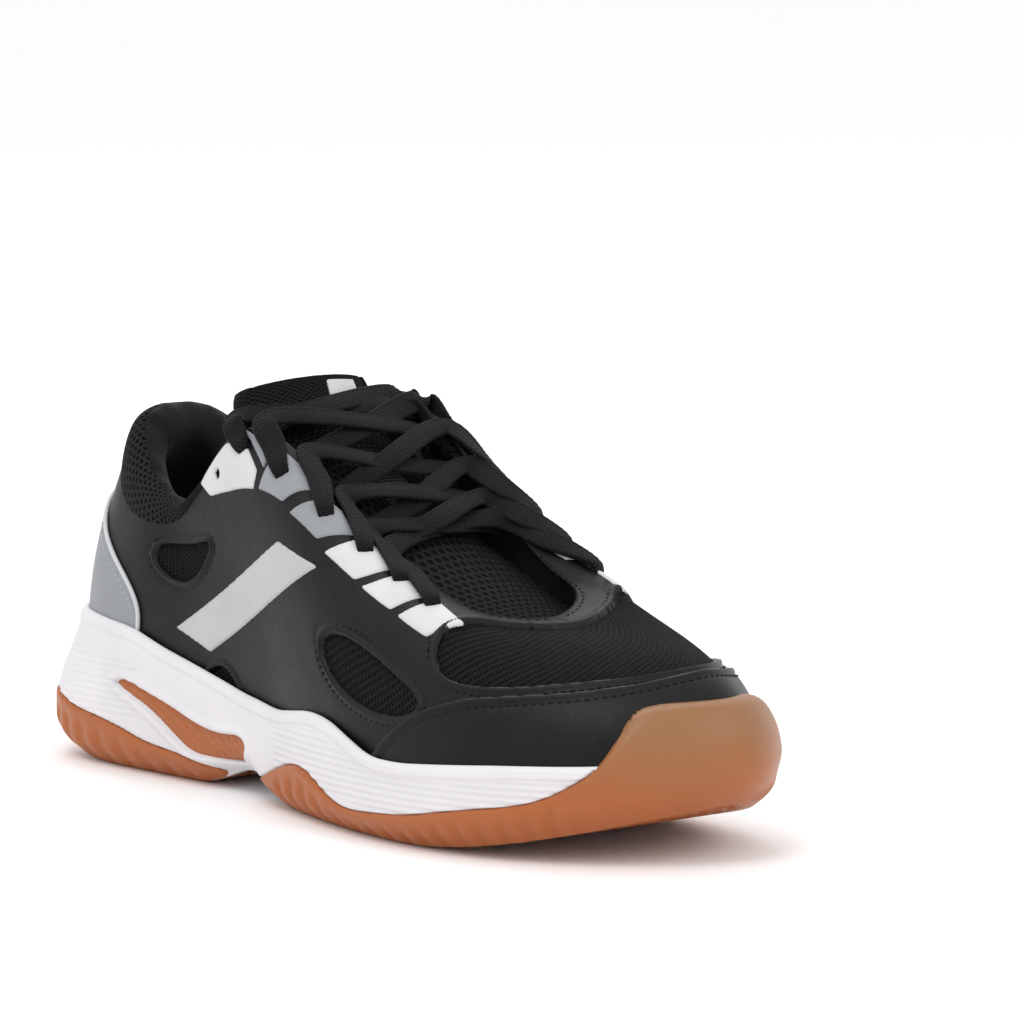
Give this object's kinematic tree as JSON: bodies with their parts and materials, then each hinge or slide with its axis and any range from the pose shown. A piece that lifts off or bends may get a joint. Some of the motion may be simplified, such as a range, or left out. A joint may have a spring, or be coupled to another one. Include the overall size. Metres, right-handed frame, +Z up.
{
  "type": "court shoe",
  "caption": "Low-cut right court shoe for racket sports: leather and mesh laced upper, foam midsole and gum outsole wrapped up over the toe.",
  "frame": {"origin": "middle of the shoe's box, on the ground", "axes": "+X to the toe, -Y the outer (lateral) side, +Z up"},
  "size_m": [0.2978, 0.1057, 0.1281],
  "materials": {
    "gum_rubber": "satin gum",
    "midsole_foam": "moulded foam, matte",
    "shank": "matte",
    "board": "felt board",
    "sockliner": "brushed knit over foam",
    "black_mesh": "spacer mesh",
    "black_leather": "fine grain, satin",
    "grey_leather": "smooth, satin",
    "light_trim": "soft satin film",
    "silver_band": "satin film",
    "stiffener": "matte board",
    "padding": "open foam",
    "lining": "knit",
    "webbing": "ribbed webbing",
    "lace": "flat braid",
    "lace_tip": "gloss film"
  },
  "bodies": {
    "root": {"outsole_forefoot": "gum_rubber", "outsole_heel": "gum_rubber", "midfoot_blades": "gum_rubber", "midsole": "midsole_foam", "shank_plate": "shank", "strobel_board": "board", "vamp_mesh": "black_mesh", "quarter_mesh_outer": "black_mesh", "quarter_mesh_inner": "black_mesh", "leather_quarter_outer": "black_leather", "leather_quarter_inner": "black_leather", "toe_cap": "black_leather", "heel_patch": "grey_leather", "eyestay_light_outer": "light_trim", "eyestay_light_inner": "light_trim", "eyestay_grey_outer": "grey_leather", "eyestay_grey_inner": "grey_leather", "side_band_outer": "silver_band", "side_band_inner": "silver_band", "heel_counter": "stiffener", "toe_puff": "stiffener", "collar_padding": "padding", "collar_lining": "lining", "upper_lining_outer": "lining", "upper_lining_inner": "lining", "tongue_lower": "black_mesh", "tongue_lace_loop": "webbing", "lace": "lace", "lace_tip_outer": "lace_tip", "lace_tip_inner": "lace_tip"},
    "tongue_tip": {"tongue_top": "black_mesh", "tongue_label": "light_trim"},
    "insole": {"sockliner": "sockliner"}
  },
  "joints": [
    {"name": "tongue_fold", "type": "hinge", "parent": "root", "child": "tongue_tip", "pos_m": [-0.0452, 0.01, 0.1102], "axis": [0, 1, 0], "range_deg": [-16, 1], "stiffness_Nm_per_rad": 0.06},
    {"name": "sockliner_lift", "type": "hinge", "parent": "root", "child": "insole", "pos_m": [0.1375, 0, 0.0255], "axis": [0, 1, 0], "range_deg": [0, 3]}
  ]
}
